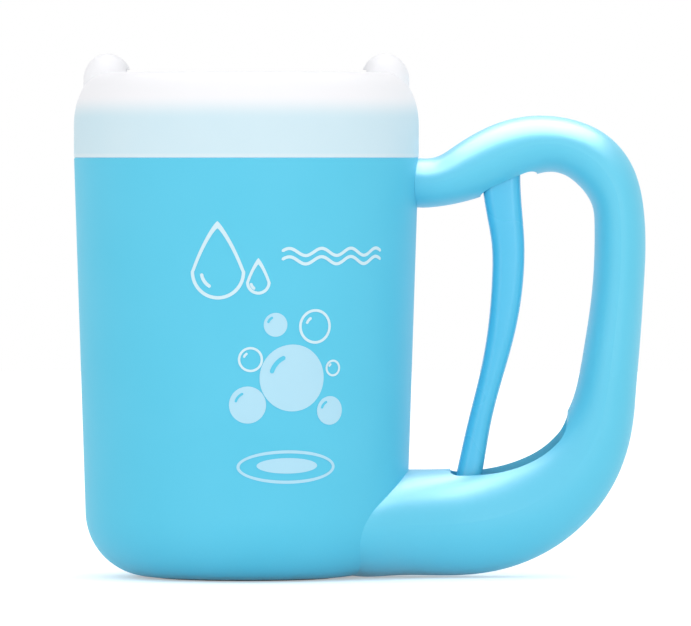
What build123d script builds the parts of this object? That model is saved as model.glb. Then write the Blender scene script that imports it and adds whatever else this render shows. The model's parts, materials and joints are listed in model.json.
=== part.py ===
from build123d import *
import os
from math import atan, atan2, cos, degrees, hypot, pi, radians, sin, sqrt, tan

os.makedirs("parts", exist_ok=True)

# ------------------------------------------------------------------ driving dimensions, mm
# Origin on the cup's axis at the resting plane, +Z up, handle towards +X, front towards -Y.

# Cup
seam_z = 142.6          # rim of the cup shell, where the cap sits
top_r = 58.6            # outer radius at the rim
base_r = 54.0           # outer radius that the tapered side would have at the base
corner_r = 22.0         # rounding between side and base
cup_wall = 2.4
base_gap = 0.4          # hard base above the resting plane
base_wall = 3.0
pad_margin = 1.5        # flat base left round the pad
pad_t = 1.4
pad_gap = 0.1           # round the pad in its recess
pad_groove_t = 0.5      # two shallow rings under the pad
pad_groove_w = 2.135
pad_groove_at = (0.55, 0.77)    # shares of the pad's radius
seam_chamfer = 0.3      # on the rim and on the cap's edge above it

# Well floor, which seals the gear chamber from the water
floor_z = 36.5          # top of the floor
floor_t = 2.6
floor_gap = 0.3         # round the edge of the floor
ledge_w = 3.2
ledge_t = 3.0
floor_seal_t = 0.9
seal_gap = 0.2          # floor seal to the inside of the ledge
floor_screw_r = 45.0    # pitch radius of the floor screws
floor_screw_at = (55, 125, 235, 305)
post_r = 3.8

# Screws of the floor and the handle
screw_r = 1.25
screw_clear = 0.15      # screw to its clearance hole
screw_head_r = 2.6
screw_head_t = 1.8
screw_head_gap = 0.2
floor_screw_reach = 7.0  # below the floor
screw_pilot = 9.0       # depth of the pilot holes in the posts

# Drive shaft and its bearings
shaft_r = 3.0
running_gap = 0.05      # radial clearance of a shaft in its bearing
bearing_r = 7.0
bearing_top = 14.0
bearing_bore = 9.0      # depth of the shaft's blind bearing
washer_t = 1.0
washer_inset = 0.5
chimney_r = 9.0
chimney_h = 10.5        # above the floor
bush_wall = 2.4
bush_flange_r = 8.0
bush_flange_t = 1.2
seal_t = 3.0
seal_wall = 2.0         # chimney round the seal
seal_lip = 1.6          # bevel of the seal's lip
clip_t = 0.8
clip_w = 2.2            # outside the shaft
clip_depth = 0.6        # of its groove
clip_gap = 0.4          # below the bush
clip_mouth = 3.2
hub_flats = 16.0
hub_h = 9.6
hub_gap = 1.3           # hub above the chimney
hub_chamfer = 1.0

# Rack and pinion
gear_module = 1.0
pinion_teeth = 18
pressure = radians(20)
backlash = 0.10         # taken off each tooth, at the pitch line
rack_z = 22.0           # underside of the rack
rack_t = 6.0
rack_travel = 32.0
rack_bar = 3.6
rack_round = 2.0        # corners of the rack's frame
collar_step = 1.5       # pinion's collar inside the roots of its teeth
window_gap = 2.0        # between pinion and the ends of the rack's window
tongue_w = 11.0
tongue_past = 2.0       # tongue past the lever's blade
tongue_round = 2.8      # its rounded end
fork_depth = 3.5        # fork behind the lever's blade
rack_pin_r = 1.5
rack_pin_past = 0.6     # pin past each side of the tongue
slide_gap = 0.3
rail_w = 2.2
rail_short = 8.0        # runner's end inside the cup's wall
hold_down_w = 2.0       # ribs under the floor that keep the rack down
hold_down_share = 0.6   # of the ledge's inner radius
guide_wall = 2.0
guide_proud = 1.5       # guide past the cup's wall on each side

# Handle
handle_wall = 2.3
upper_drop = 8.6        # middle of the upper arm below the seam, where it leaves the cup
lower_z = 18.5          # middle of the lower arm
lug_half_w = 5.0
lug_half_h = 4.2
lug_root = 3.0          # lug's foot inside the cup's wall, twice that where its corner curves in
upper_lug_out = 5.0     # screw in the lug, outside the rim's radius
lower_lug_out = 4.2
lower_lug_drop = 8.0    # below the middle of the lower arm
screw_grip = 6.0        # from the parting plane to the head and to the tip
screw_tip_gap = 0.5
boss_r = 3.9

# Lever
lever_half_w = 7.0
lever_round = 3.6       # along its edges
lever_gap = 0.5         # lever to the sides of its slot
slot_front = 1.9        # more room on the front side of the lower slot
lever_hub_r = 5.5
lever_hub_half = 6.3
lever_pin_r = 2.0
lever_lean = 13.5       # rack pin behind the pivot at rest
blade_t = 5.0
blade_half = 4.3
blade_share = 0.16      # its length, of the drop from pivot to rack pin
blade_round = 4.0       # rounded foot of the blade
blade_past = 1.2        # flat stretch below the slot
blade_slot = 6.2        # length of the slot for the rack's pin
pin_half = 11.6         # half the length of the pivot pin
pivot_boss_r = 4.5
boss_gap = 0.6          # round the pivot bosses in the lever
upper_slot = (7.6, 11.6, 22.0, 3.0)     # before, behind, below and short of the pivot
lower_slot = (4.4, 3.6, 38.0)           # before and behind the pin's travel, above the arm
slot_round = 3.0
spring_wire = 0.9
spring_play = 0.12      # between turns
spring_bore_gap = 0.4   # coil to the pivot pin
spring_turns = 3.176    # whole turns and the angle between the two legs
spring_start = 110      # degrees, where the coil leaves its fixed leg
spring_leg = 12.0
moving_leg = 8.4
leg_lap = 0.05          # of a leg into its coil
spring_room = 0.1       # coil's room in the lever, outside the hub's radius
leg_gap = 0.2           # lever to the moving leg

# Brush
drum_gap = 2.9          # to the cup's wall below and to the cap's skirt above
drum_wall = 2.0
drum_rise = 4.0         # above the well's floor
drum_top_gap = 5.5      # below the foot of the cap's mouth
drum_bead = 1.2         # rounded edge round the top
drum_bead_h = 3.0
drum_lip_w = 3.0        # carries the floor
drum_lip_t = 1.4
drum_floor_t = 2.2
drum_floor_gap = 0.1
liner_t = 1.8
liner_gap = 0.2
liner_drop = 1.0        # below the top of the drum
tower_wall = 3.0
tower_gap = 1.4         # tower to the chimney
socket_gap = 0.2        # below the hub
drain_count = 10
drain_r = 4.0

# Cap
cap_h = 28.9            # above the seam
cap_wall = 2.4
cap_band = 11.2         # height of the cap's upright side
cap_shoulder = 10.6     # how far the shoulder curves in
hollow_slope = 10.3     # height in which the cap's hollow leans in under the shoulder
mouth_r = 38.5
mouth_depth = 9.0
lip_round = 2.6
skirt_h = 6.6
skirt_t = 2.0
skirt_gap = 0.35
gasket_w = 1.2
gasket_t = 0.8
gasket_inset = 0.5      # outside the cup's inner edge
ear_rise = 6.5
ear_half_w = 10.0
ear_depth = 16.5        # from its outer face to its inner foot
ear_inset = 3.2         # its outer face inside the cap's side
ear_sunk = 2.5          # below the cap's top, where its dome begins
ear_root = 4.0          # straight foot below the dome

# ------------------------------------------------------------------ sizes that follow
pitch_r = gear_module * pinion_teeth / 2
tip_r = pitch_r + gear_module
root_r = pitch_r - 1.25 * gear_module
gear_pitch = pi * gear_module
rack_top = rack_z + rack_t
rack_mid = rack_z + rack_t / 2
rack_back = tip_r + 2 * slide_gap          # inner face of the rack's plain side
rack_half_w = rack_back + rack_bar
window_right = tip_r + window_gap
window_left = -rack_travel - tip_r - window_gap
chamber_floor = base_gap + base_wall
inner_top_r = top_r - cup_wall
upper_z = seam_z - upper_drop
cap_top = seam_z + cap_h
drum_z = floor_z + drum_rise
drum_top = cap_top - mouth_depth - drum_top_gap
pad_r = base_r - corner_r - pad_margin
chimney_top = floor_z + chimney_h
hub_z = chimney_top + hub_gap
hub_top = hub_z + hub_h
spring_pitch = spring_wire + spring_play
leg_wire = 0.98 * spring_wire
spring_len = spring_turns * spring_pitch + spring_wire
spring_r = lever_pin_r + spring_bore_gap + spring_wire / 2
spring_y = lever_hub_half - 2 * running_gap
gasket_r = inner_top_r + gasket_inset


def cup_r(z):
    """Outer radius of the cup's tapered side at a height."""
    return base_r + (top_r - base_r) * z / seam_z


def ring(outer, inner, low, high):
    return Pos(0, 0, low) * extrude(Circle(outer) - Circle(inner), high - low)


def disc(radius, low, high):
    return Pos(0, 0, low) * extrude(Circle(radius), high - low)


def block(x0, x1, y0, y1, z0, z1):
    return Pos((x0 + x1) / 2, (y0 + y1) / 2, (z0 + z1) / 2) * Box(x1 - x0, y1 - y0, z1 - z0)


def rod_y(x, z, radius, y0, y1):
    """Round bar along Y."""
    return Pos(x, y0, z) * Rot(-90, 0, 0) * extrude(Circle(radius), y1 - y0)


def turned(points):
    """Solid of revolution about Z from a closed (radius, height) outline."""
    return revolve(Plane.XZ * make_face(Polyline(*points, close=True)), Axis.Z)


# ------------------------------------------------------------------ cup
def cup_form(inset, low, high):
    """What lies inside the cup's outer skin, or inside its wall when inset."""
    side = [(cup_r(z) - inset, z) for z in (low, high)]
    face = make_face(Polyline((0, low), *side, (0, high), close=True))
    corner = face.vertices().sort_by(Axis.Y)[:2].sort_by(Axis.X)[-1]
    face = fillet(corner, corner_r - inset)
    return revolve(Plane.XZ * face, Axis.Z)


cup_skin = cup_form(0, base_gap, seam_z)
skirt_r = cup_r(seam_z - skirt_h) - cup_wall - skirt_gap
skirt_inner_r = skirt_r - skirt_t
drum_r = min(cup_r(drum_z) - cup_wall, skirt_inner_r - drum_bead) - drum_gap
drum_inner_r = drum_r - drum_wall
drum_floor_z = drum_z + drum_lip_t + drum_floor_t          # top of the drum's floor
ledge_z = floor_z - floor_t
ledge_r = cup_r(ledge_z) - cup_wall - ledge_w
upper_lug = (top_r + upper_lug_out, upper_z)
lower_lug = (top_r + lower_lug_out, lower_z - lower_lug_drop)
floor_r = cup_r(ledge_z) - cup_wall - floor_gap
seal_r = ledge_r + seal_gap                                # inside of the floor seal
bush_low = ledge_z - bush_flange_t
bush_bore = shaft_r + running_gap
clip_z = bush_low - clip_gap - clip_t
guide_half_w = tongue_w / 2 + slide_gap + guide_wall
guide_half_h = rack_t / 2 + slide_gap + guide_wall
guide_left = cup_r(rack_mid) - cup_wall - guide_proud
guide_right = cup_r(rack_mid) + guide_proud


def make_cup_shell():
    shell = cup_skin - cup_form(cup_wall, chamber_floor, seam_z + 1)
    rim = shell.edges().filter_by(GeomType.CIRCLE).group_by(Axis.Z)[-1].sort_by(SortBy.LENGTH)[-1]
    shell = chamfer(rim, seam_chamfer)
    shell += ring(cup_r(ledge_z) - cup_wall / 2, ledge_r, ledge_z - ledge_t, ledge_z)
    shell += disc(bearing_r, chamber_floor - 1, bearing_top)
    for angle in floor_screw_at:
        post = Rot(0, 0, angle) * Pos(floor_screw_r, 0, 0) * disc(post_r, chamber_floor, ledge_z)
        shell += post & cup_skin
    for side in (-1, 1):
        shell += rack_rail(side)
    for (x, z), foot in ((upper_lug, inner_top_r - lug_root), (lower_lug, base_r - 2 * lug_root)):
        lug = block(foot, x + boss_r, -lug_half_w, lug_half_w, z - lug_half_h, z + lug_half_h)
        shell += lug - cup_form(cup_wall, chamber_floor, seam_z + 1)
        shell -= rod_y(x, z, screw_r, -lug_half_w - 1, lug_half_w + 1)
    shell -= disc(bush_bore, bearing_top - bearing_bore, bearing_top + 1)
    shell -= block(guide_left - 1, guide_right + 1, -guide_half_w, guide_half_w,
                   rack_mid - guide_half_h, rack_mid + guide_half_h)
    for angle in floor_screw_at:
        pilot = disc(screw_r, ledge_z - screw_pilot, ledge_z + 1)
        shell -= Rot(0, 0, angle) * Pos(floor_screw_r, 0, 0) * pilot
    return shell - disc(pad_r + pad_gap, base_gap - 1, pad_t)


def rack_rail(side):
    """Runner under one side of the rack, with an upstand that keeps the rack in mesh."""
    reach = cup_r(rack_z) - cup_wall - rail_short
    outer = rack_half_w + slide_gap
    runner = block(-reach, reach, outer - rail_w, outer + rail_w, chamber_floor - 1, rack_z - slide_gap)
    runner += block(-reach, reach, outer, outer + rail_w, rack_z - 1, rack_top)
    if side < 0:
        runner = mirror(runner, Plane.XZ)
    return runner & cup_skin


def make_well_floor():
    floor = disc(floor_r, ledge_z, floor_z)
    floor -= ring(floor_r + 1, seal_r, ledge_z - 1, ledge_z + floor_seal_t)
    for angle in floor_screw_at:
        spot = Rot(0, 0, angle) * Pos(floor_screw_r, 0, 0)
        floor -= spot * disc(screw_r + screw_clear, ledge_z - 1, floor_z + 1)
    floor += disc(chimney_r, floor_z - 1, chimney_top)
    reach = hold_down_share * ledge_r
    for side in (-1, 1):
        middle = side * (rack_half_w - rack_bar / 2)
        floor += block(-reach, reach, middle - hold_down_w / 2, middle + hold_down_w / 2,
                       rack_top + slide_gap, ledge_z + 1)
    floor -= disc(bush_bore + bush_wall, ledge_z - 1, chimney_top - seal_t / 2)
    return floor - disc(chimney_r - seal_wall, chimney_top - seal_t, chimney_top + 1)


def make_floor_seal():
    return ring(floor_r, seal_r, ledge_z, ledge_z + floor_seal_t)


def screw_z(x, y, seat, reach):
    """Pan-head screw pointing down, its head on the seat."""
    head = disc(screw_head_r, seat, seat + screw_head_t)
    return Pos(x, y, 0) * (head + disc(screw_r, seat - reach, seat + screw_head_t / 2))


def make_floor_screws():
    reach = floor_t + floor_screw_reach
    return [Rot(0, 0, angle) * screw_z(floor_screw_r, 0, floor_z, reach) for angle in floor_screw_at]


def make_shaft_bush():
    sleeve = ring(bush_bore + bush_wall, bush_bore, bush_low, chimney_top - seal_t)
    return sleeve + ring(bush_flange_r, bush_bore, bush_low, ledge_z)


def make_shaft_seal():
    outer = chimney_r - seal_wall
    low = chimney_top - seal_t
    return turned([(bush_bore, low), (outer, low), (outer, chimney_top),
                   (bush_bore + seal_lip, chimney_top), (bush_bore, low + seal_lip)])


def make_thrust_washer():
    return ring(bearing_r - washer_inset, bush_bore, bearing_top, bearing_top + washer_t)


def make_base_pad():
    pad = disc(pad_r, 0, pad_t)
    for share in pad_groove_at:
        pad -= ring(pad_r * share + pad_groove_w, pad_r * share, -1, pad_groove_t)
    return pad


def make_rack_guide():
    """Sleeve in the cup's side that carries the rack's tongue."""
    guide = block(guide_left, guide_right, -guide_half_w, guide_half_w,
                  rack_mid - guide_half_h, rack_mid + guide_half_h)
    inner_w = guide_half_w - guide_wall
    inner_h = guide_half_h - guide_wall
    return guide - block(guide_left - 1, guide_right + 1, -inner_w, inner_w,
                         rack_mid - inner_h, rack_mid + inner_h)


# ------------------------------------------------------------------ drive
def make_drive_shaft():
    shaft = disc(shaft_r, bearing_top - bearing_bore, hub_top)
    return shaft - ring(shaft_r + 1, shaft_r - clip_depth, clip_z, clip_z + clip_t)


def make_shaft_clip():
    clip = ring(shaft_r + clip_w, shaft_r - clip_depth, clip_z, clip_z + clip_t)
    mouth = clip_mouth / 2
    return clip - block(0, shaft_r + clip_w + 1, -mouth, mouth, clip_z - 1, clip_z + clip_t + 1)


def pinion_outline():
    """Involute teeth, one tooth centred on +X."""
    base = pitch_r * cos(pressure)
    half = pi / (2 * pinion_teeth) - backlash / (2 * pitch_r) + tan(pressure) - pressure
    flank = []
    for step in range(5):
        radius = base + (tip_r - base) * step / 4
        roll = sqrt(max((radius / base) ** 2 - 1, 0))
        flank.append((radius, half - roll + atan(roll)))
    side = [(root_r, half)] + flank
    points = []
    for tooth in range(pinion_teeth):
        middle = 2 * pi * tooth / pinion_teeth
        for radius, angle in side:
            points.append((radius * cos(middle - angle), radius * sin(middle - angle)))
        for radius, angle in reversed(side):
            points.append((radius * cos(middle + angle), radius * sin(middle + angle)))
    return points


def make_drive_pinion():
    teeth = Pos(0, 0, rack_z) * extrude(make_face(Polyline(*pinion_outline(), close=True)), rack_t)
    collar = disc(root_r - collar_step, bearing_top + washer_t, rack_z + 1)
    return teeth + collar - disc(shaft_r, bearing_top, rack_top + 1)


def make_drive_hub():
    """Hexagonal dog that carries the brush."""
    flats = extrude(RegularPolygon(hub_flats / 2, 6, major_radius=False), hub_h)
    flats = chamfer(flats.faces().sort_by(Axis.Z)[-1].edges(), hub_chamfer)
    return Pos(0, 0, hub_z) * flats - disc(shaft_r, hub_z - 1, hub_top + 1)


# ------------------------------------------------------------------ rack
def make_drive_rack():
    """Window rack: teeth on the front side of the window, and a forked tongue for the lever."""
    tooth_top = -(pitch_r - gear_module)
    tooth_root = -(pitch_r + 1.25 * gear_module)
    half_tip = gear_pitch / 4 - backlash / 2 - gear_module * tan(pressure)
    half_root = gear_pitch / 4 - backlash / 2 + 1.25 * gear_module * tan(pressure)
    window = [(window_right, rack_back), (window_left, rack_back), (window_left, tooth_root)]
    first = int((window_left + half_root) / gear_pitch)
    last = int((window_right - half_root) / gear_pitch)
    for tooth in range(first, last + 1):
        x = tooth * gear_pitch
        window += [(x - half_root, tooth_root), (x - half_tip, tooth_top),
                   (x + half_tip, tooth_top), (x + half_root, tooth_root)]
    window.append((window_right, tooth_root))
    left = window_left - rack_bar
    right = window_right + rack_bar
    frame = block(left, right, -rack_half_w, rack_half_w, rack_z, rack_top)
    frame = fillet(frame.edges().filter_by(Axis.Z), rack_round)
    frame -= Pos(0, 0, rack_z - 1) * extrude(make_face(Polyline(*window, close=True)), rack_t + 2)
    end = rack_pin_x + blade_half + tongue_past
    tongue = block(right - 1, end, -tongue_w / 2, tongue_w / 2, rack_z, rack_top)
    tongue = fillet(tongue.edges().filter_by(Axis.Y).sort_by(Axis.X)[-2:], tongue_round)
    fork = blade_t / 2 + slide_gap
    tongue -= block(rack_pin_x - blade_half - fork_depth, end + 1, -fork, fork, rack_z - 1, rack_top + 1)
    return frame + tongue - rod_y(rack_pin_x, rack_mid, rack_pin_r, -tongue_w, tongue_w)


def make_rack_pin():
    half = tongue_w / 2 + rack_pin_past
    return rod_y(rack_pin_x, rack_mid, rack_pin_r, -half, half)


# ------------------------------------------------------------------ handle
def at(out, up):
    """A place on the handle: mm out from the cup's side, and share of the rise from lower to upper arm."""
    z = lower_z + up * (upper_z - lower_z)
    return cup_r(z) + out, z


# out from the cup's side, share of the rise, half depth, half width, lean of the section in degrees
handle_run = (
    (-8.7, 0.999, 8.3, 11.5, 90),
    (1.8, 1.000, 8.4, 11.8, 92),
    (7.9, 1.006, 8.5, 12.2, 97),
    (14.8, 1.028, 9.5, 12.8, 107),
    (28.6, 1.085, 10.6, 13.5, 104),
    (43.1, 1.115, 9.6, 13.5, 90),
    (57.1, 1.081, 9.6, 13.5, 60),
    (66.0, 0.995, 9.2, 13.5, 37),
    (69.0, 0.885, 8.6, 13.5, 8),
    (69.3, 0.710, 8.7, 13.5, -2),
    (67.8, 0.515, 9.4, 13.5, -6),
    (66.6, 0.408, 10.0, 13.5, -10),
    (65.1, 0.320, 11.1, 13.5, -17),
    (57.8, 0.177, 14.1, 13.6, -37),
    (45.9, 0.078, 16.8, 14.0, -63),
    (31.0, 0.0215, 18.3, 15.6, -82),
    (15.4, 0.002, 18.2, 20.0, -90),
    (-3.0, 0.001, 18.0, 30.0, -90),
    (-21.6, 0.001, 17.6, 38.5, -90),
)
screw_places = (6.1, 9.4, 12.6)     # section of the run, and part of the way to the next one
pivot_out = 28.57
pivot_up = 1.082
pivot_x, pivot_z = at(pivot_out, pivot_up)
rack_pin_x = pivot_x - lever_lean
lever_drop = pivot_z - rack_mid


def on_run(place):
    """A place on the handle's middle line, part of the way from one section to the next."""
    share = place % 1
    here, there = handle_run[int(place)], handle_run[int(place) + 1]
    return at(here[0] + share * (there[0] - here[0]), here[1] + share * (there[1] - here[1]))


# places of the screws through the handle, and how far from the parting plane their bosses start
handle_screw_at = ((upper_lug, lug_half_w), *((on_run(place), 0) for place in screw_places),
                   (lower_lug, lug_half_w))


def handle_form(inset):
    sections = []
    for out, up, half_depth, half_width, lean in handle_run:
        x, z = at(out, up)
        turn = radians(lean)
        plane = Plane(origin=(x, 0, z), x_dir=(cos(turn), 0, sin(turn)), z_dir=(sin(turn), 0, -cos(turn)))
        sections.append(plane * Ellipse(half_depth - inset, half_width - inset))
    return loft(sections)


def lever_slots():
    """What the lever sweeps through in the upper arm's underside and the lower arm's top."""
    half = lever_half_w + lever_gap
    before, behind, below, short = upper_slot
    upper = block(pivot_x - before, pivot_x + behind, -half, half, pivot_z - below, pivot_z - short)
    before, behind, above = lower_slot
    lower = block(rack_pin_x - before, rack_pin_x + rack_travel + behind, -half - slot_front, half,
                  rack_top + 1, lower_z + above)
    upper = fillet(upper.edges().filter_by(Axis.Z), lever_round + lever_gap)
    return upper + fillet(lower.edges().filter_by(Axis.Z), slot_round)


def make_handle_halves():
    skin = handle_form(0) - cup_skin - disc(top_r + slide_gap, seam_z - slide_gap, cap_top)
    core = handle_form(handle_wall)
    shell = skin - core - lever_slots()
    size = skin.bounding_box()
    far = size.max.Y + 1
    halves = {}
    for name, side in (("handle_front_half", -1), ("handle_rear_half", 1)):
        keep = block(size.min.X - 1, size.max.X + 1, *sorted((0, side * far)),
                     size.min.Z - 1, size.max.Z + 1)
        half = shell & keep
        for (x, z), start in handle_screw_at:
            half += rod_y(x, z, boss_r, *sorted((side * start, side * far))) & skin & keep
        pivot_boss = lever_hub_half + slide_gap
        half += rod_y(pivot_x, pivot_z, pivot_boss_r, *sorted((side * pivot_boss, side * far))) & skin
        half -= rod_y(pivot_x, pivot_z, lever_pin_r, -pin_half, pin_half)
        for (x, z), start in handle_screw_at:
            seat = start + screw_grip
            if side > 0:
                half -= rod_y(x, z, screw_r + screw_clear, -1, seat + 1)
                half -= rod_y(x, z, screw_head_r + screw_head_gap, seat, far)
            else:
                half -= rod_y(x, z, screw_r, -seat - screw_tip_gap, 1)
        halves[name] = half
    return halves


def make_handle_screws():
    screws = []
    for (x, z), start in handle_screw_at:
        seat = start + screw_grip
        head = rod_y(x, z, screw_head_r, seat, seat + screw_head_t)
        screws.append(head + rod_y(x, z, screw_r, -seat, seat + screw_head_t / 2))
    return screws


def make_lever_pin():
    return rod_y(pivot_x, pivot_z, lever_pin_r, -pin_half, pin_half)


# ------------------------------------------------------------------ lever
# share of the way from pivot to rack pin, and the lever's two edges from the line that joins them
lever_edges = (
    (0.02, -6.1, 6.3),
    (0.14, -4.2, 8.2),
    (0.26, -0.2, 10.8),
    (0.35, 1.1, 11.7),
    (0.49, 1.7, 11.2),
    (0.62, 0.8, 8.9),
    (0.76, -1.4, 6.4),
    (0.88, -3.0, 5.5),
    (0.945, -3.8, 4.9),
)


def lever_point(share, aside):
    return pivot_x - lever_lean * share + aside, pivot_z - lever_drop * share


def make_lever():
    left = [lever_point(share, aside) for share, aside, _ in lever_edges]
    right = [lever_point(share, aside) for share, _, aside in lever_edges]
    outline = Spline(*left) + Line(left[-1], right[-1]) + Spline(*reversed(right)) + Line(right[0], left[0])
    body = extrude(Plane.XZ * make_face(outline), lever_half_w, both=True)
    long_edges = [edge for edge in body.edges() if edge.length > lever_drop / 2]
    body = fillet(long_edges, lever_round)
    lean = degrees(atan2(lever_lean, lever_drop))
    reach = hypot(lever_lean, lever_drop)
    blade_len = blade_share * lever_drop
    blade_foot = -reach - blade_half - blade_past
    blade = Pos(0, 0, blade_foot + blade_len / 2) * Box(2 * blade_half, blade_t, blade_len)
    blade = fillet(blade.edges().filter_by(Axis.Y).sort_by(Axis.Z)[:2], blade_round)
    slot = SlotOverall(blade_slot, 2 * (rack_pin_r + slide_gap), rotation=90)
    blade -= Pos(0, 0, -reach) * extrude(Plane.XZ * slot, blade_t, both=True)
    blade = Pos(pivot_x, 0, pivot_z) * Rot(0, lean, 0) * blade
    lever = body + blade
    for side in (-1, 1):
        ends = sorted((side * lever_hub_half, side * (lever_half_w + 1)))
        lever -= rod_y(pivot_x, pivot_z, pivot_boss_r + boss_gap, *ends)
    lever += rod_y(pivot_x, pivot_z, lever_hub_r, -lever_hub_half, lever_hub_half)
    lever -= rod_y(pivot_x, pivot_z, lever_pin_r + running_gap, -lever_half_w - 1, lever_half_w + 1)
    room_y = spring_y - spring_len - 2 * slide_gap
    lever -= rod_y(pivot_x, pivot_z, lever_hub_r + spring_room, room_y, lever_half_w + 1)
    return lever - leg_room()


def leg_room():
    """Groove in the lever for the spring's moving leg."""
    turn = spring_start + 360 * spring_turns
    half = spring_wire / 2 + leg_gap
    groove = block(spring_r - half, spring_r + half, 0, moving_leg + 2 * leg_gap,
                   -lever_half_w, spring_len + 3 * slide_gap)
    return Pos(pivot_x, spring_y, pivot_z) * Rot(90, 0, 0) * Rot(0, 0, turn) * groove


def make_return_spring():
    """Torsion spring round the lever's pin, one leg under the arch and one down in the lever."""
    coil = Helix(spring_pitch, spring_pitch * spring_turns, spring_r)
    wire = Plane(origin=coil @ 0, z_dir=coil % 0) * Rectangle(spring_wire, spring_wire)
    spring = sweep(wire, path=coil, is_frenet=True)
    for end, heading, reach in ((coil @ 0, coil % 0 * -1, spring_leg), (coil @ 1, coil % 1, moving_leg)):
        leg = extrude(Rectangle(leg_wire, leg_wire), reach)
        spring += Plane(origin=end - heading * leg_lap, z_dir=heading) * leg
    spot = Pos(pivot_x, spring_y - spring_wire / 2, pivot_z)
    return spot * Rot(90, 0, 0) * Rot(0, 0, spring_start) * spring


# ------------------------------------------------------------------ brush
def make_brush_drum():
    """Open barrel with a bead round its top and a lip below that carries the floor."""
    barrel = ring(drum_r, drum_inner_r, drum_z, drum_top)
    barrel += ring(drum_r, drum_inner_r - drum_lip_w, drum_z, drum_z + drum_lip_t)
    bead = ring(drum_r + drum_bead, drum_inner_r, drum_top - drum_bead_h, drum_top)
    return barrel + fillet(bead.edges().sort_by(Axis.Z)[-2:], drum_bead / 2)


def make_drum_floor():
    """Floor of the brush, with a hexagonal socket in a tower over the chimney."""
    socket_flats = hub_flats + 2 * slide_gap
    room_r = chimney_r + tower_gap
    tower_r = max(room_r, socket_flats / sqrt(3)) + tower_wall
    low = drum_z + drum_lip_t
    floor = disc(drum_inner_r - drum_floor_gap, low, drum_floor_z)
    tower = disc(tower_r, low, hub_top + tower_wall)
    floor += fillet(tower.edges().sort_by(Axis.Z)[-1], tower_wall / 2)
    floor -= disc(room_r, low - 1, hub_z - socket_gap / 2)
    socket = extrude(RegularPolygon(socket_flats / 2, 6, major_radius=False), hub_h + socket_gap)
    floor -= Pos(0, 0, hub_z - socket_gap) * socket
    hole_r = (tower_r + drum_inner_r - drum_lip_w) / 2
    drain = Pos(hole_r, 0, 0) * disc(drain_r, low - 1, drum_floor_z + 1)
    for turn in range(drain_count):
        floor -= Rot(0, 0, 360 * turn / drain_count) * drain
    return floor


def make_brush_liner():
    outer = drum_inner_r - liner_gap
    return ring(outer, outer - liner_t, drum_floor_z + liner_gap, drum_top - liner_drop)


# ------------------------------------------------------------------ cap
def make_rim_cap():
    band_top = seam_z + cap_band
    crown = top_r - cap_shoulder
    lip = mouth_r + lip_round
    lip_foot = cap_top - mouth_depth
    outside = [Polyline((crown, cap_top), (0, cap_top), (0, seam_z), (top_r - seam_chamfer, seam_z),
                        (top_r, seam_z + seam_chamfer), (top_r, band_top)),
               EllipticalCenterArc((crown, band_top), cap_shoulder, cap_top - band_top, arc_size=90)]
    mouth = [Polyline((lip, cap_top), (lip, cap_top + 1), (0, cap_top + 1), (0, lip_foot),
                      (mouth_r, lip_foot), (mouth_r, cap_top - lip_round)),
             EllipticalCenterArc((lip, cap_top - lip_round), lip_round, lip_round, 90, arc_size=90)]
    cap = revolve(Plane.XZ * make_face(outside), Axis.Z) + ear(1) + ear(-1)
    cap += ring(skirt_r, skirt_inner_r, seam_z - skirt_h, seam_z + 1)
    under_top = cap_top - cap_wall
    lip_outer = mouth_r + cap_wall
    cap -= turned([(0, seam_z - 1), (skirt_inner_r, seam_z - 1), (skirt_inner_r, under_top - hollow_slope),
                   (crown - 1, under_top), (lip_outer, under_top), (lip_outer, lip_foot), (0, lip_foot)])
    cap -= revolve(Plane.XZ * make_face(mouth), Axis.Z)
    return cap - ring(gasket_r + gasket_w, gasket_r, seam_z - 1, seam_z + gasket_t)


def make_cap_gasket():
    return ring(gasket_r + gasket_w, gasket_r, seam_z, seam_z + gasket_t)


def ear(side):
    """Domed grip that stands on the cap's shoulder."""
    rise = ear_rise + ear_sunk
    ball = scale(Sphere(1), by=(ear_depth / 2, ear_half_w, rise))
    dome = ball & block(-ear_depth, ear_depth, -ear_half_w - 1, ear_half_w + 1, 0, rise + 1)
    root = Pos(0, 0, -ear_root) * extrude(Ellipse(ear_depth / 2, ear_half_w), ear_root)
    return Pos(side * (top_r - ear_inset - ear_depth / 2), 0, cap_top - ear_sunk) * (dome + root)


# ------------------------------------------------------------------ write the pieces
pieces = {
    "cup_shell": make_cup_shell(),
    "well_floor": make_well_floor(),
    "floor_seal": make_floor_seal(),
    "floor_screws": make_floor_screws(),
    "shaft_bush": make_shaft_bush(),
    "shaft_seal": make_shaft_seal(),
    "thrust_washer": make_thrust_washer(),
    "base_pad": make_base_pad(),
    "rack_guide": make_rack_guide(),
    "drive_shaft": make_drive_shaft(),
    "shaft_clip": make_shaft_clip(),
    "drive_pinion": make_drive_pinion(),
    "drive_hub": make_drive_hub(),
    "drive_rack": make_drive_rack(),
    "rack_pin": make_rack_pin(),
    "handle_screws": make_handle_screws(),
    "lever_pin": make_lever_pin(),
    "lever": make_lever(),
    "return_spring": make_return_spring(),
    "brush_drum": make_brush_drum(),
    "drum_floor": make_drum_floor(),
    "brush_liner": make_brush_liner(),
    "rim_cap": make_rim_cap(),
    "cap_gasket": make_cap_gasket(),
}
pieces.update(make_handle_halves())

for name, shape in pieces.items():
    solids = [solid for each in (shape if isinstance(shape, list) else [shape]) for solid in each.solids()]
    piece = solids[0] if len(solids) == 1 else Compound(children=solids)
    export_step(piece, f"parts/{name}.step")
    print(name, len(solids))
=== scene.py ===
import bmesh
import bpy
import json
import math
from mathutils import Matrix, Vector


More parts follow.
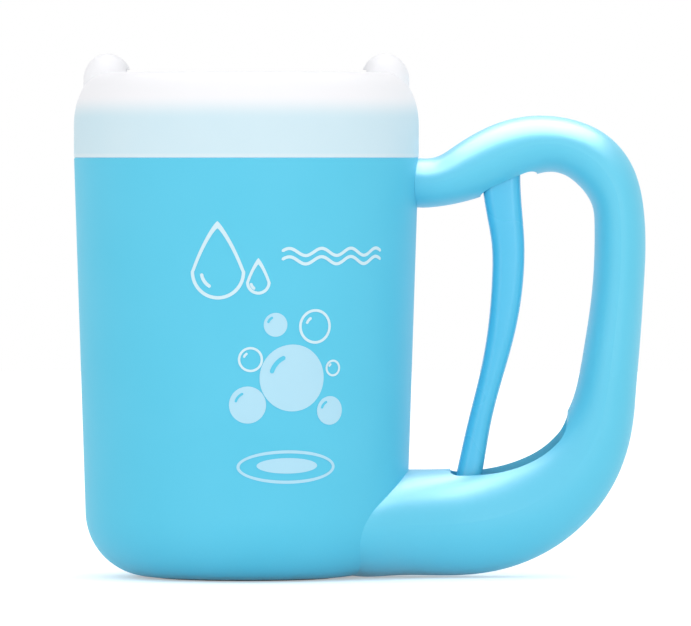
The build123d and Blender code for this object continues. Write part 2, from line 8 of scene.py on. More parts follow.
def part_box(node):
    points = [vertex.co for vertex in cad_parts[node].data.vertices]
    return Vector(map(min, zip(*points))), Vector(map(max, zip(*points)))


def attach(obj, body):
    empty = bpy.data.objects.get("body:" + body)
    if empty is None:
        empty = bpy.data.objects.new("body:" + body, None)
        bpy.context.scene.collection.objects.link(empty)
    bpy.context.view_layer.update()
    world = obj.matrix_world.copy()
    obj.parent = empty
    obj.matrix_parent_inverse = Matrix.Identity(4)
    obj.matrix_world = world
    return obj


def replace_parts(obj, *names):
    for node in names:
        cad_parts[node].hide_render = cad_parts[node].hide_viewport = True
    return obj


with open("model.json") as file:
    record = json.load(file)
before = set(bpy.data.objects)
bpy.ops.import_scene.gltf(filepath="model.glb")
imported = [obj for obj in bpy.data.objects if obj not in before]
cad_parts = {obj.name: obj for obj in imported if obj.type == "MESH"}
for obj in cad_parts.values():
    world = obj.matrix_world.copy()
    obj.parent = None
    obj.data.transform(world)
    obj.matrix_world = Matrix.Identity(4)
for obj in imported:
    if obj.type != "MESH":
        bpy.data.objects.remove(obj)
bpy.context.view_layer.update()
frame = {"nodes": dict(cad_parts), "record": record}
scene = bpy.context.scene
scene.view_settings.view_transform = "Standard"
nodes = frame["nodes"]
print("frame loaded:", len(nodes), "nodes")

cupLow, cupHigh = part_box("cup_shell")
rimRadius = -cupLow.x             # the cup's widest, at its rim
rimHeight = cupHigh.z
sideTaper = 0.0046                # how much less the cup's radius would be at its base
weldGap = 1e-7                    # corners closer than this are one


def sideRadius(height):
    return rimRadius - sideTaper * (1 - height / rimHeight)


# camera
cameraSetup = {
    "distance": 3.1,
    "height": 0.142,
    "aimX": 0.0337,
    "aimZ": 0.0898,
    "frameWidth": 0.235,      # what the view spans at the cup's axis
    "sensor": 36,
    "farClip": 50,
}


def makeCamera(setup):
    data = bpy.data.cameras.new("camera")
    camera = bpy.data.objects.new("camera", data)
    scene.collection.objects.link(camera)
    camera.location = (setup["aimX"], -setup["distance"], setup["height"])
    aim = Vector((setup["aimX"], 0, setup["aimZ"]))
    camera.rotation_euler = (aim - camera.location).to_track_quat("-Z", "Y").to_euler()
    data.sensor_width = setup["sensor"]
    data.lens = setup["sensor"] * (aim - camera.location).length / setup["frameWidth"]
    data.clip_end = setup["farClip"]
    scene.camera = camera


makeCamera(cameraSetup)
print("camera placed")


# studio: white floor, white surroundings and soft boxes
studio = {
    "floorSize": 6.0,
    "worldLight": 0.88,
    "floorTone": 0.93,
    "floorGlow": 0.4,         # added to the floor only where it is seen
    "softBoxes": (
        # name, place, aimed at, width, height, watts, and False for a card that shows only as gloss
        ("keyBox", (-0.5, -1.8, 0.95), (0.02, 0, 0.09), 1.2, 1.2, 1.3, True),
        ("frontBox", (0.7, -1.7, 0.12), (0.08, 0, 0.05), 1.0, 0.5, 4.7, True),
        ("sideBox", (-0.8, -1.6, 0.10), (0, 0, 0.05), 1.0, 0.5, 2.6, True),
        ("topCard", (0.05, 0.08, 1.1), (0.05, 0.08, 0), 1.4, 1.4, 94.0, False),
    ),
}


def makeStudio(setup):
    mesh = bpy.data.meshes.new("floor")
    work = bmesh.new()
    bmesh.ops.create_grid(work, x_segments=1, y_segments=1, size=setup["floorSize"] / 2)
    work.to_mesh(mesh)
    work.free()
    floor = bpy.data.objects.new("floor", mesh)
    scene.collection.objects.link(floor)
    mesh.materials.append(floorMaterial(setup["floorTone"], setup["floorGlow"]))
    for name, place, target, width, height, watts, lightsMatt in setup["softBoxes"]:
        light = bpy.data.lights.new(name, "AREA")
        light.shape = "RECTANGLE"
        light.size = width
        light.size_y = height
        light.energy = watts
        lamp = bpy.data.objects.new(name, light)
        lamp.visible_diffuse = lightsMatt
        scene.collection.objects.link(lamp)
        lamp.location = place
        lamp.rotation_euler = (Vector(target) - Vector(place)).to_track_quat("-Z", "Y").to_euler()
    makeWorld(setup["worldLight"])


def showsBackground(tree):
    # one for what the camera sees, also by way of gloss and of clear parts
    path = tree.nodes.new("ShaderNodeLightPath")
    seen = path.outputs["Is Camera Ray"]
    for ray in ("Is Glossy Ray", "Is Transmission Ray"):
        both = tree.nodes.new("ShaderNodeMath")
        both.operation = "MAXIMUM"
        tree.links.new(seen, both.inputs[0])
        tree.links.new(path.outputs[ray], both.inputs[1])
        seen = both.outputs[0]
    return seen


def makeWorld(strength):
    world = bpy.data.worlds.new("studioWorld")
    scene.world = world
    world.use_nodes = True
    tree = world.node_tree
    tree.nodes.clear()
    output = tree.nodes.new("ShaderNodeOutputWorld")
    seen = tree.nodes.new("ShaderNodeBackground")      # what the camera sees
    seen.inputs["Color"].default_value = (1, 1, 1, 1)
    seen.inputs["Strength"].default_value = 1
    lit = tree.nodes.new("ShaderNodeBackground")       # what lights the object
    lit.inputs["Color"].default_value = (1, 1, 1, 1)
    lit.inputs["Strength"].default_value = strength
    mix = tree.nodes.new("ShaderNodeMixShader")
    tree.links.new(showsBackground(tree), mix.inputs[0])
    tree.links.new(lit.outputs[0], mix.inputs[1])
    tree.links.new(seen.outputs[0], mix.inputs[2])
    tree.links.new(mix.outputs[0], output.inputs["Surface"])


def floorMaterial(tone, glowLevel):
    material = bpy.data.materials.new("floorWhite")
    material.use_nodes = True
    tree = material.node_tree
    tree.nodes.clear()
    output = tree.nodes.new("ShaderNodeOutputMaterial")
    diffuse = tree.nodes.new("ShaderNodeBsdfDiffuse")
    diffuse.inputs["Color"].default_value = (tone, tone, tone, 1)
    glow = tree.nodes.new("ShaderNodeEmission")
    level = tree.nodes.new("ShaderNodeMath")
    level.operation = "MULTIPLY"
    level.inputs[1].default_value = glowLevel
    add = tree.nodes.new("ShaderNodeAddShader")
    tree.links.new(showsBackground(tree), level.inputs[0])
    tree.links.new(level.outputs[0], glow.inputs["Strength"])
    tree.links.new(diffuse.outputs[0], add.inputs[0])
    tree.links.new(glow.outputs[0], add.inputs[1])
    tree.links.new(add.outputs[0], output.inputs["Surface"])
    return material


makeStudio(studio)
print("studio lit")


# materials
def linear(red, green, blue):
    # a colour written from 0 to 255, as the light it stands for
    def one(value):
        value = value / 255
        return value / 12.92 if value <= 0.04045 else ((value + 0.055) / 1.055) ** 2.4
    return (one(red), one(green), one(blue), 1)


finishes = {
    # two close tones, roughness, grain scale per metre, grain depth in mm, and how strong the gloss is
    "blueCup": {
        "tones": ((101, 206, 236), (94, 203, 233)),
        "roughness": 0.45, "grain": 900, "depth": 0.004, "specular": 0.12,
    },
    "blueHandle": {
        "tones": ((100, 206, 236), (92, 203, 233)),
        "roughness": 0.42, "grain": 900, "depth": 0.004, "specular": 0.5,
    },
    "blueLever": {
        "tones": ((89, 199, 237), (81, 196, 237)),
        "roughness": 0.28, "grain": 900, "depth": 0.004, "specular": 0.38,
    },
    "whiteMoulding": {
        "tones": ((236, 240, 242), (228, 233, 236)),
        "roughness": 0.42, "grain": 1200, "depth": 0.006, "specular": 0.5,
    },
    "naturalAcetal": {
        "tones": ((232, 230, 222), (222, 219, 210)),
        "roughness": 0.38, "grain": 1500, "depth": 0.005, "specular": 0.5,
    },
    "greyRubber": {
        "tones": ((92, 100, 108), (80, 88, 96)),
        "roughness": 0.72, "grain": 2500, "depth": 0.02, "specular": 0.5,
    },
    "softSilicone": {
        "tones": ((224, 240, 245), (214, 235, 242)),
        "roughness": 0.46, "grain": 1800, "depth": 0.01, "specular": 0.5,
    },
    "printWhite": {
        "tones": ((214, 238, 246), (206, 233, 243)),
        "roughness": 0.5, "grain": 3000, "depth": 0.004, "specular": 0.5,
    },
    "printPale": {
        "tones": ((181, 226, 244), (174, 222, 242)),
        "roughness": 0.5, "grain": 3000, "depth": 0.004, "specular": 0.5,
    },
}
surface = {
    "cloudScale": 35,         # per metre, of the slow change from one tone to the other
    "cloudDetail": 2,
    "roughnessSpread": 0.04,
    "grainDetail": 3,
    "bumpStrength": 0.35,
}


def startMaterial(name):
    material = bpy.data.materials.new(name)
    material.use_nodes = True
    tree = material.node_tree
    shader = tree.nodes["Principled BSDF"]
    place = tree.nodes.new("ShaderNodeTexCoord")
    return material, tree, shader, place


def addGrain(tree, shader, place, scale, depth):
    grain = tree.nodes.new("ShaderNodeTexNoise")
    grain.inputs["Scale"].default_value = scale
    grain.inputs["Detail"].default_value = surface["grainDetail"]
    bump = tree.nodes.new("ShaderNodeBump")
    bump.inputs["Strength"].default_value = surface["bumpStrength"]
    bump.inputs["Distance"].default_value = depth / 1000      # from mm
    tree.links.new(place.outputs["Object"], grain.inputs["Vector"])
    tree.links.new(grain.outputs["Fac"], bump.inputs["Height"])
    tree.links.new(bump.outputs["Normal"], shader.inputs["Normal"])


def addTones(tree, shader, place, tones, roughness, scale=surface["cloudScale"]):
    cloud = tree.nodes.new("ShaderNodeTexNoise")
    cloud.inputs["Scale"].default_value = scale
    cloud.inputs["Detail"].default_value = surface["cloudDetail"]
    mix = tree.nodes.new("ShaderNodeMix")
    mix.data_type = "RGBA"
    mix.inputs["A"].default_value = linear(*tones[0])
    mix.inputs["B"].default_value = linear(*tones[1])
    spread = tree.nodes.new("ShaderNodeMapRange")
    spread.inputs["To Min"].default_value = roughness - surface["roughnessSpread"]
    spread.inputs["To Max"].default_value = roughness + surface["roughnessSpread"]
    tree.links.new(place.outputs["Object"], cloud.inputs["Vector"])
    tree.links.new(cloud.outputs["Fac"], mix.inputs["Factor"])
    tree.links.new(mix.outputs["Result"], shader.inputs["Base Color"])
    tree.links.new(cloud.outputs["Fac"], spread.inputs["Value"])
    tree.links.new(spread.outputs["Result"], shader.inputs["Roughness"])
    return mix


def mouldedMaterial(name):
    finish = finishes[name]
    material, tree, shader, place = startMaterial(name)
    shader.inputs["Specular IOR Level"].default_value = finish["specular"]
    addTones(tree, shader, place, finish["tones"], finish["roughness"])
    addGrain(tree, shader, place, finish["grain"], finish["depth"])
    return material


capFinish = {
    # painted shade: paler blue-white tones for the upright band above the seam
    "paintedShadeTones": ((216, 236, 244), (207, 233, 243)),
    "plainTone": (247, 247, 250),
    # height above the seam, and how much of the plain tone shows there: a little at the seam as a painted
    # highlight line, none over the band of painted shade, all of it over the top
    "paintedLightFrom": ((0.0, 0.30), (0.0008, 0.30), (0.0017, 0.0), (0.0128, 0.0), (0.0212, 1.0)),
    "roughness": 0.50, "grain": 900, "depth": 0.004, "specular": 0.03,
}


def capMaterial():
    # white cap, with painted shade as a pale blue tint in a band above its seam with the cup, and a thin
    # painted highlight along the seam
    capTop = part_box("rim_cap")[1].z
    material, tree, shader, place = startMaterial("whiteCap")
    shader.inputs["Specular IOR Level"].default_value = capFinish["specular"]
    # the band's tones are painted shade
    paintedShadeBand = addTones(tree, shader, place, capFinish["paintedShadeTones"], capFinish["roughness"])
    split = tree.nodes.new("ShaderNodeSeparateXYZ")
    rise = tree.nodes.new("ShaderNodeMapRange")
    rise.inputs["From Min"].default_value = rimHeight
    rise.inputs["From Max"].default_value = capTop
    # ramp of painted light: a thin painted highlight at the seam, painted shade over the band, plain white
    # over the top
    lightAndShade = tree.nodes.new("ShaderNodeValToRGB")
    lightAndShade.color_ramp.interpolation = "EASE"
    stops = lightAndShade.color_ramp.elements
    while len(stops) < len(capFinish["paintedLightFrom"]):
        stops.new(0)
    for stop, (height, share) in zip(stops, capFinish["paintedLightFrom"]):
        stop.position = height / (capTop - rimHeight)
        stop.color = (share, share, share, 1)
    mix = tree.nodes.new("ShaderNodeMix")
    mix.data_type = "RGBA"
    mix.inputs["B"].default_value = linear(*capFinish["plainTone"])
    tree.links.new(place.outputs["Object"], split.inputs[0])
    tree.links.new(split.outputs["Z"], rise.inputs["Value"])
    tree.links.new(rise.outputs["Result"], lightAndShade.inputs["Fac"])
    tree.links.new(lightAndShade.outputs["Color"], mix.inputs["Factor"])
    tree.links.new(paintedShadeBand.outputs["Result"], mix.inputs["A"])
    tree.links.new(mix.outputs["Result"], shader.inputs["Base Color"])
    addGrain(tree, shader, place, capFinish["grain"], capFinish["depth"])
    return material


steelFinish = {
    "tones": ((205, 207, 210), (182, 184, 188)),
    "cloudScale": 400,
    "roughness": 0.3, "grain": 4000, "depth": 0.004,
}


def steelMaterial():
    material, tree, shader, place = startMaterial("brushedSteel")
    shader.inputs["Metallic"].default_value = 1
    addTones(tree, shader, place, steelFinish["tones"], steelFinish["roughness"], steelFinish["cloudScale"])
    addGrain(tree, shader, place, steelFinish["grain"], steelFinish["depth"])
    return material


materials = {name: mouldedMaterial(name) for name in finishes}
materials["whiteCap"] = capMaterial()
materials["steel"] = steelMaterial()

nodeFinish = {
    "cup_shell": "blueCup", "handle_front_half": "blueHandle", "handle_rear_half": "blueHandle",
    "lever": "blueLever", "rim_cap": "whiteCap", "cap_gasket": "softSilicone",
    "well_floor": "whiteMoulding", "brush_drum": "whiteMoulding", "drum_floor": "whiteMoulding",
    "brush_liner": "softSilicone",
    "drive_pinion": "naturalAcetal", "drive_rack": "naturalAcetal", "drive_hub": "naturalAcetal",
    "shaft_bush": "naturalAcetal", "rack_guide": "naturalAcetal",
    "floor_seal": "greyRubber", "shaft_seal": "greyRubber", "base_pad": "greyRubber",
    "drive_shaft": "steel", "shaft_clip": "steel", "thrust_washer": "steel", "floor_screws": "steel",
    "handle_screws": "steel", "lever_pin": "steel", "rack_pin": "steel", "return_spring": "steel",
}
for nodeName, node in nodes.items():
    for materialSlot in node.material_slots:
        materialSlot.material = materials[nodeFinish[nodeName]]
print("materials set")


def finishPiece(work, name, finish, body, smooth=True):
    bmesh.ops.remove_doubles(work, verts=work.verts, dist=weldGap)
    bmesh.ops.recalc_face_normals(work, faces=work.faces)
    for face in work.faces:
        face.smooth = smooth
    mesh = bpy.data.meshes.new(name)
    work.to_mesh(mesh)
    work.free()
    mesh.materials.append(materials[finish])
    piece = bpy.data.objects.new(name, mesh)
    scene.collection.objects.link(piece)
    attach(piece, body)
    return piece


# silicone liner with its bristles
linerSetup = {
    "wall": 0.0018,
    "steps": 96,              # round the sleeve
    "columns": 20,
    "rows": 10,
    "firstRow": 0.012,        # up from the lower edge
    "lastRow": 0.010,         # down from the upper edge
    "bristleLength": 0.0105,
    "bristleRadius": 0.0017,
    "bristleSides": 8,
    "rootDepth": 0.0003,      # into the wall
    "lift": 0.10,             # radians, the tip is higher than the root
    "tipRadius": 0.0011,
    "tipRise": 0.6,           # of the tip's radius, by which its end stands out
    "tipEnd": 0.55,           # of the tip's radius, which its end measures
}


def makeLiner(setup):
    linerLow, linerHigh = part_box("brush_liner")
    outer = -linerLow.x
    inner = outer - setup["wall"]
    work = bmesh.new()
    sleeve = [work.verts.new((x, 0, z)) for x, z in ((outer, linerLow.z), (outer, linerHigh.z),
                                                    (inner, linerHigh.z), (inner, linerLow.z))]
    edges = [work.edges.new((sleeve[i], sleeve[(i + 1) % 4])) for i in range(4)]
    bmesh.ops.spin(work, geom=sleeve + edges, cent=(0, 0, 0), axis=(0, 0, 1), angle=2 * math.pi,
                   steps=setup["steps"], use_merge=True)
    low = linerLow.z + setup["firstRow"]
    pitch = (linerHigh.z - setup["lastRow"] - low) / (setup["rows"] - 1)
    for row in range(setup["rows"]):
        for column in range(setup["columns"]):
            turn = 2 * math.pi * (column + row % 2 / 2) / setup["columns"]     # every other row is offset
            addBristle(work, setup, inner, low + row * pitch, turn)
    return finishPiece(work, "bristledLiner", "softSilicone", "brush")


def addBristle(work, setup, inner, height, turn):
    made = bmesh.ops.create_cone(work, cap_ends=True, segments=setup["bristleSides"],
                                 radius1=setup["bristleRadius"], radius2=setup["tipRadius"],
                                 depth=setup["bristleLength"])["verts"]
    cap = [face for face in {near for vert in made for near in vert.link_faces} if face.normal.z > 0.9]
    grown = bmesh.ops.extrude_face_region(work, geom=cap)["geom"]
    tipVerts = [item for item in grown if isinstance(item, bmesh.types.BMVert)]
    bmesh.ops.delete(work, geom=cap, context="FACES_ONLY")
    bmesh.ops.translate(work, verts=tipVerts, vec=(0, 0, setup["tipRadius"] * setup["tipRise"]))
    bmesh.ops.scale(work, verts=tipVerts, vec=(setup["tipEnd"], setup["tipEnd"], 1))
    verts = list(set(made + tipVerts))
    lean = Matrix.Rotation(-math.pi / 2 + setup["lift"], 4, "Y")
    middle = inner - setup["bristleLength"] / 2 + setup["rootDepth"]
    place = Matrix.Rotation(turn, 4, "Z") @ Matrix.Translation((middle, 0, height))
    bmesh.ops.transform(work, matrix=place @ lean, verts=verts)


liner = makeLiner(linerSetup)
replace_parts(liner, "brush_liner")
print("liner made")


# pan-head screws with a cross recess, in the places of the plain ones
screwSetup = {
    "headHeight": 0.0018,
    "flatShare": 0.70,        # of the head's radius, before it rounds off
    "roundShare": 0.6,        # of the head's height, over which it rounds off
    "shankRadius": 0.00125,
    "threadDepth": 0.00028,
    "threadPitch": 0.0011,
    "recessHalf": 0.00034,    # half the width of the cross's arms
    "recessReach": 0.00145,   # from the screw's axis to the end of an arm
    "recessDepth": 0.0008,
    "recessFloor": 0.6,       # of the cross's size, at its floor
    "steps": 24,
    "sharpAngle": 40,         # degrees, past which an edge is not smoothed
}


def looseParts(node):
    # the box of each separate solid in a node
    work = bmesh.new()
    work.from_mesh(node.data)
    bmesh.ops.remove_doubles(work, verts=work.verts, dist=weldGap)
    left = set(work.verts)
    boxes = []
    while left:
        found = {left.pop()}
        newest = set(found)
        while newest:
            newest = {edge.other_vert(vert) for vert in newest for edge in vert.link_edges} - found
            found |= newest
        left -= found
        places = [node.matrix_world @ vert.co for vert in found]
        boxes.append((Vector([min(place[i] for place in places) for i in range(3)]),
                      Vector([max(place[i] for place in places) for i in range(3)])))
    work.free()
    return sorted(boxes, key=lambda box: tuple(box[0]))


def addScrew(work, setup, headRadius, length):
    # top of the head at the origin, shank pointing down
    flat = headRadius * setup["flatShare"]
    head = setup["headHeight"]
    profile = [(0, 0), (flat, 0)]
    for degrees in (30, 60, 90):
        turn = math.radians(degrees)
        profile.append((flat + (headRadius - flat) * math.sin(turn),
                        -head * setup["roundShare"] * (1 - math.cos(turn))))
    profile += [(headRadius, -head), (setup["shankRadius"], -head)]
    depth = head + setup["threadPitch"]
    while depth < length - 2 * setup["threadPitch"]:
        profile += [(setup["shankRadius"], -depth),
                    (setup["shankRadius"] - setup["threadDepth"], -depth - setup["threadPitch"] / 2)]
        depth += setup["threadPitch"]
    profile += [(setup["shankRadius"] - setup["threadDepth"], -length + setup["threadPitch"]), (0, -length)]
    verts = [work.verts.new((radius, 0, height)) for radius, height in profile]
    edges = [work.edges.new(pair) for pair in zip(verts, verts[1:])]
    bmesh.ops.spin(work, geom=verts + edges, cent=(0, 0, 0), axis=(0, 0, 1), angle=2 * math.pi,
                   steps=setup["steps"], use_merge=True)
    bmesh.ops.remove_doubles(work, verts=work.verts, dist=weldGap)
    bmesh.ops.recalc_face_normals(work, faces=work.faces)
    addRecess(work, setup)


def addRecess(work, setup):
    half, reach = setup["recessHalf"], setup["recessReach"]
    flatGap = 1e-8            # a corner this close to a plane lies in it

    def topFaces():
        return [face for face in work.faces if all(abs(vert.co.z) < flatGap for vert in face.verts)]

    for place in (half, -half, reach, -reach):
        for normal in ((1, 0, 0), (0, 1, 0)):
            top = topFaces()
            parts = top + list({edge for face in top for edge in face.edges})
            parts += list({vert for face in top for vert in face.verts})
            bmesh.ops.bisect_plane(work, geom=parts, plane_co=Vector(normal) * place, plane_no=normal,
                                   dist=flatGap)
    cross = []
    for face in topFaces():
        middle = face.calc_center_median()
        near, far = sorted((abs(middle.x), abs(middle.y)))
        if near < half and far < reach:
            cross.append(face)
    grown = bmesh.ops.extrude_face_region(work, geom=cross)["geom"]
    bmesh.ops.delete(work, geom=cross, context="FACES_ONLY")
    sunk = [item for item in grown if isinstance(item, bmesh.types.BMVert)]
    bmesh.ops.translate(work, verts=sunk, vec=(0, 0, -setup["recessDepth"]))
    bmesh.ops.scale(work, verts=sunk, vec=(setup["recessFloor"], setup["recessFloor"], 1))


def makeScrews(nodeName, name, axis, turn):
    along = Vector(axis)
    whole = bmesh.new()
    for low, high in looseParts(nodes[nodeName]):
        size = high - low
        work = bmesh.new()
        addScrew(work, screwSetup, min(size) / 2, along.dot(size))
        top = (low + high) / 2 + along * along.dot(size) / 2
        bmesh.ops.transform(work, matrix=Matrix.Translation(top) @ turn, verts=work.verts)
        mesh = bpy.data.meshes.new("oneScrew")
        work.to_mesh(mesh)
        work.free()
        whole.from_mesh(mesh)
        bpy.data.meshes.remove(mesh)
    screws = finishPiece(whole, name, "steel", "cup")
    screws.modifiers.new("edges", "EDGE_SPLIT").split_angle = math.radians(screwSetup["sharpAngle"])
    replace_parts(screws, nodeName)


makeScrews("handle_screws", "handleScrews", (0, 1, 0), Matrix.Rotation(-math.pi / 2, 4, "X"))
makeScrews("floor_screws", "floorScrews", (0, 0, 1), Matrix.Identity(4))
print("screws made")


# lever, with the front corner of its blade set down into the slot
leverSetup = {
    "corner": 0.8872,         # where the corner is, of the way from the pivot to the rack's pin
    "setDown": 0.925,         # where it goes, of the same way
    "front": -0.0030,         # from the line between the two, and only what is further forward moves
    "follow": -0.00046,       # how far the lever's own front edge comes forward on the way down
    "weldGap": 1e-6,
    "cornerGap": 0.0004,      # of the way, to each side of the corner
    "sharpAngle": 35,         # degrees, past which an edge is not smoothed
}
leverPivot = Vector(next(joint["pos_m"] for joint in frame["record"]["behaviour"]["joints"]
                         if joint["name"] == "lever_pivot"))


def makeLever(setup):
    pinLow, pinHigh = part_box("rack_pin")
    down = (pinLow + pinHigh) / 2 - leverPivot
    across = Vector((-down.z, 0, down.x)).normalized()
    work = bmesh.new()
    work.from_mesh(nodes["lever"].data)
    bmesh.ops.remove_doubles(work, verts=work.verts, dist=setup["weldGap"])
    corner = []
    for vert in work.verts:
        place = vert.co - leverPivot
        share = place.dot(down) / down.length_squared
        if abs(share - setup["corner"]) < setup["cornerGap"] and place.dot(across) < setup["front"]:
            corner.append(vert)
    reach = min((vert.co - leverPivot).dot(across) for vert in corner)
    middle = (reach + setup["front"]) / 2
    root = [vert for vert in corner if (vert.co - leverPivot).dot(across) > middle]
    bmesh.ops.translate(work, verts=corner, vec=down * (setup["setDown"] - setup["corner"]))
    bmesh.ops.translate(work, verts=root, vec=across * setup["follow"])
    lever = finishPiece(work, "pullLever", "blueLever", "lever")
    lever.modifiers.new("edges", "EDGE_SPLIT").split_angle = math.radians(setup["sharpAngle"])
    return lever


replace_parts(makeLever(leverSetup), "lever")
print("lever made")


# round-wire return spring, its coil round the lever's pin
springSetup = {
    "wireRadius": 0.00045,
    "wireSides": 12,
    "coilRadius": 0.00285,    # to the middle of the wire
    "pitch": 0.00102,
    "turns": 3.176,
    "start": 110,             # degrees
    "legs": (0.0120, 0.0084),
    "stepsPerTurn": 28,
}


def makeSpring(setup):
    work = bmesh.new()
    section = bmesh.ops.create_circle(work, cap_ends=False, radius=setup["wireRadius"],
                                      segments=setup["wireSides"])["verts"]
    bmesh.ops.transform(work, matrix=Matrix.Translation((setup["coilRadius"], 0, 0))
                        @ Matrix.Rotation(math.pi / 2, 4, "X"), verts=section)
    firstEdges = work.edges[:]
    steps = round(setup["turns"] * setup["stepsPerTurn"])
    angle = 2 * math.pi * setup["turns"]
    rise = setup["pitch"] * setup["turns"] / steps
    spun = bmesh.ops.spin(work, geom=section + firstEdges, cent=(0, 0, 0), axis=(0, 0, 1), angle=angle,
                          steps=steps, dvec=(0, 0, rise), use_duplicate=False)
    lastEdges = [item for item in spun["geom_last"] if isinstance(item, bmesh.types.BMEdge)]
    ends = ((firstEdges, Vector((0, -1, 0)), setup["legs"][0]),
            (lastEdges, Vector((-math.sin(angle), math.cos(angle), 0)), setup["legs"][1]))
    for edges, heading, reach in ends:
        grown = bmesh.ops.extrude_edge_only(work, edges=edges)["geom"]
        tip = [item for item in grown if isinstance(item, bmesh.types.BMVert)]
        bmesh.ops.translate(work, verts=tip, vec=heading * reach)
    openEdges = [edge for edge in work.edges if edge.is_boundary]
    bmesh.ops.holes_fill(work, edges=openEdges, sides=setup["wireSides"])
    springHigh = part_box("return_spring")[1]
    place = Matrix.Translation((leverPivot.x, springHigh.y - setup["wireRadius"], leverPivot.z))
    bmesh.ops.transform(work, matrix=place @ Matrix.Rotation(math.pi / 2, 4, "X")
                        @ Matrix.Rotation(math.radians(setup["start"]), 4, "Z"), verts=work.verts)
    return finishPiece(work, "returnSpring", "steel", "cup")


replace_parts(makeSpring(springSetup), "return_spring")
print("spring made")


# prints on the front of the cup, each a thin layer of ink that follows the tapered side
inkSetup = {
    "lift": 0.00005,          # the ink's underside stands off the cup
    "thickness": 0.00010,
    "layerStep": 1.5,         # of the thickness, from one layer to the next
    "ringSides": 96,
    "patchSides": 64,
    "patchRings": 6,
    "strokeSteps": 120,
}


def wrapOnCup(work, centreAngle, centreHeight, lift):
    # flat x, y become an arc round the cup and a height, z stays a lift off the surface
    for vert in work.verts:
        height = centreHeight + vert.co.y
        radius = sideRadius(height) + lift + vert.co.z
        angle = centreAngle + vert.co.x / sideRadius(height)
        vert.co = Vector((radius * math.sin(angle), -radius * math.cos(angle), height))


def finishInk(work, name, finish, centreDegrees, centreHeight, layer=0):
    bmesh.ops.remove_doubles(work, verts=work.verts, dist=weldGap)
    work.normal_update()
    bmesh.ops.reverse_faces(work, faces=[face for face in work.faces if face.normal.z < 0])
    bmesh.ops.solidify(work, geom=work.faces[:], thickness=-inkSetup["thickness"])
    lift = inkSetup["lift"] + layer * inkSetup["layerStep"] * inkSetup["thickness"]
    wrapOnCup(work, math.radians(centreDegrees), centreHeight, lift)
    finishPiece(work, name, finish, "cup", smooth=False)


def inkRing(work, outline, line):
    # band between an outline and a smaller copy of it
    sides = inkSetup["ringSides"]
    for inset in (0, line):
        ring = bmesh.ops.create_circle(work, cap_ends=False, radius=1, segments=sides)["verts"]
        for vert in ring:
            vert.co.xy = outline(math.atan2(vert.co.y, vert.co.x), inset)
    bmesh.ops.bridge_loops(work, edges=work.edges[:])


def inkPatch(work, outline, rings=inkSetup["patchRings"]):
    # filled outline, inset in rings so that it can follow the curve of the cup
    sides = inkSetup["patchSides"]
    edge = bmesh.ops.create_circle(work, cap_ends=True, radius=1, segments=sides)["verts"]
    for vert in edge:
        vert.co.xy = outline(math.atan2(vert.co.y, vert.co.x), 0)
    face = work.faces[:]
    for left in range(rings, 0, -1):
        grown = bmesh.ops.extrude_face_region(work, geom=face)["geom"]
        bmesh.ops.delete(work, geom=face, context="FACES_ONLY")
        face = [item for item in grown if isinstance(item, bmesh.types.BMFace)]
        inner = [item for item in grown if isinstance(item, bmesh.types.BMVert)]
        share = left / (left + 1)
        bmesh.ops.scale(work, verts=inner, vec=(share, share, 1))
    bmesh.ops.poke(work, faces=face)


def inkStroke(work, line, path, steps=inkSetup["strokeSteps"]):
    # strip of even width along a path given from 0 to 1, with rounded ends
    bmesh.ops.create_grid(work, x_segments=steps, y_segments=2, size=1)
    length = (Vector(path(1)) - Vector(path(0))).length
    step = 0.001              # of the path, to each side, for its direction
    for vert in work.verts:
        along = (vert.co.x + 1) / 2
        here, ahead, behind = path(along), path(along + step), path(along - step)
        heading = Vector((ahead[0] - behind[0], ahead[1] - behind[1])).normalized()
        nearEnd = min(1, min(along, 1 - along) * length / line * 2)
        half = line / 2 * math.sqrt(1 - (1 - nearEnd) ** 2)
        aside = half * vert.co.y
        vert.co = Vector((here[0] - heading.y * aside, here[1] + heading.x * aside, 0))


waveSetup = {
    "from": 12.4, "to": 52.2,          # degrees from the front towards the handle
    "heights": (0.1111, 0.1083),
    "crest": 15.0, "period": 11.5,     # degrees
    "swing": 0.0012, "line": 0.00105,
}


def makeWaves(setup):
    middle = (setup["from"] + setup["to"]) / 2
    for count, height in enumerate(setup["heights"]):
        def path(along):
            degrees = setup["from"] + along * (setup["to"] - setup["from"])
            swing = setup["swing"] * math.cos(2 * math.pi * (degrees - setup["crest"]) / setup["period"])
            return math.radians(degrees - middle) * sideRadius(height), swing
        work = bmesh.new()
        inkStroke(work, setup["line"], path)
        finishInk(work, f"waveLine{count + 1}", "printWhite", middle, height)


dropShape = {
    "narrowing": 0.32,        # power by which the sides close in above the round part
    "drawnOut": 1.35,         # power by which they rise
    "tipInset": 2.1,          # of the line, which keeps its width at the point
}


def dropOutline(width, tall):
    def outline(turn, inset):
        # round below, drawn out to a point above
        half = width / 2 - inset
        rise = math.sin(turn)
        if rise <= 0:
            return half * math.cos(turn), half * rise
        across = half * math.cos(turn) * (1 - rise) ** dropShape["narrowing"]
        tip = tall - width / 2 - dropShape["tipInset"] * inset
        return across, tip * rise ** dropShape["drawnOut"]
    return outline


def roundOutline(across, tall=None):
    def outline(turn, inset):
        return (across - inset) * math.cos(turn), ((tall or across) - inset) * math.sin(turn)
    return outline


def arcPath(radius, start, end):
    def path(along):
        turn = math.radians(start + along * (end - start))
        return radius * math.cos(turn), radius * math.sin(turn)
    return path


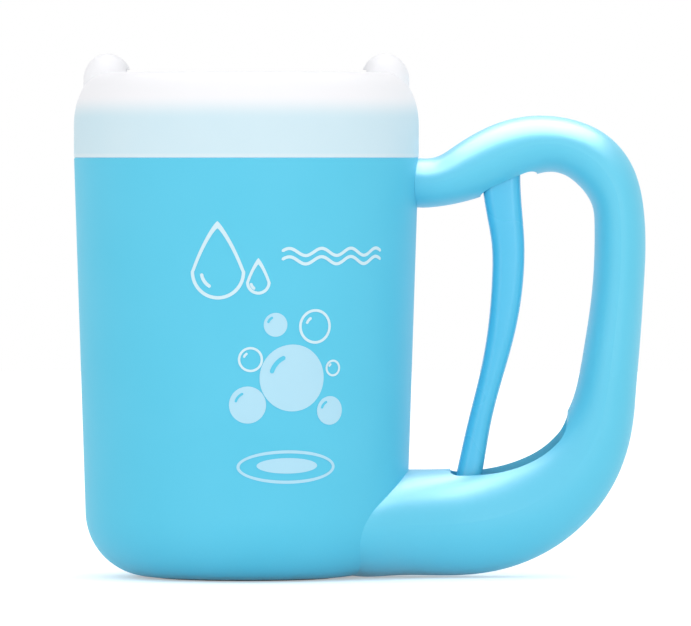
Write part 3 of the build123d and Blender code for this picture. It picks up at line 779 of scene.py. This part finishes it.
motifs = {
    # drops: name, degrees, height of the round part's middle, width, height, line
    "drops": (
        ("dropLarge", -9.0, 0.1045, 0.0185, 0.0262, 0.00115),
        ("dropSmall", 4.6, 0.1010, 0.0082, 0.0122, 0.0010),
    ),
    # filled bubbles: name, degrees, height, radius
    "bubbles": (
        ("bubbleA", 16.5, 0.0690, 0.0112),
        ("bubbleB", 1.0, 0.0600, 0.0062),
        ("bubbleC", 30.5, 0.0580, 0.0048),
        ("bubbleD", 10.5, 0.0868, 0.0040),
    ),
    # open bubbles: name, degrees, height, radius, line
    "rings": (
        ("bubbleRingA", 24.5, 0.0862, 0.0058, 0.0009),
        ("bubbleRingB", 2.0, 0.0752, 0.0042, 0.0008),
        ("bubbleRingC", 31.5, 0.0722, 0.0028, 0.0007),
    ),
    # ripples: name, degrees, height, half width, half height, line if open, rings if filled
    "ripples": (
        ("rippleOuter", 15.0, 0.0392, 0.0172, 0.0056, 0.00105, None),
        ("rippleInner", 15.0, 0.0396, 0.0105, 0.0026, None, 4),
    ),
    # glints: share of the width or radius, degrees from and to, steps
    "dropGlint": (0.30, 185, 245, 32),
    "bubbleGlint": (0.66, 110, 168, 32),
    "ringGlint": (0.55, 115, 165, 24),
    "bubbleGlintLine": 0.13,  # of the bubble's radius
    "thinnestGlint": 0.0008,
}


def addGlint(name, finish, degrees, height, size, glint, line, layer=0):
    share, start, end, steps = glint
    work = bmesh.new()
    inkStroke(work, line, arcPath(size * share, start, end), steps)
    finishInk(work, name + "Glint", finish, degrees, height, layer)


def makeMotifs(setup):
    for name, degrees, height, width, tall, line in setup["drops"]:
        work = bmesh.new()
        inkRing(work, dropOutline(width, tall), line)
        finishInk(work, name, "printWhite", degrees, height)
        addGlint(name, "printWhite", degrees, height, width, setup["dropGlint"], line)
    for name, degrees, height, radius in setup["bubbles"]:
        work = bmesh.new()
        inkPatch(work, roundOutline(radius))
        finishInk(work, name, "printPale", degrees, height)
        line = max(setup["thinnestGlint"], radius * setup["bubbleGlintLine"])
        addGlint(name, "blueCup", degrees, height, radius, setup["bubbleGlint"], line, 1)
    for name, degrees, height, radius, line in setup["rings"]:
        work = bmesh.new()
        inkRing(work, roundOutline(radius), line)
        finishInk(work, name, "printWhite", degrees, height)
        addGlint(name, "printWhite", degrees, height, radius, setup["ringGlint"], line)
    for name, degrees, height, across, tall, line, rings in setup["ripples"]:
        work = bmesh.new()
        if line:
            inkRing(work, roundOutline(across, tall), line)
        else:
            inkPatch(work, roundOutline(across, tall), rings)
        finishInk(work, name, "printPale", degrees, height)


makeWaves(waveSetup)
makeMotifs(motifs)
print("prints laid")
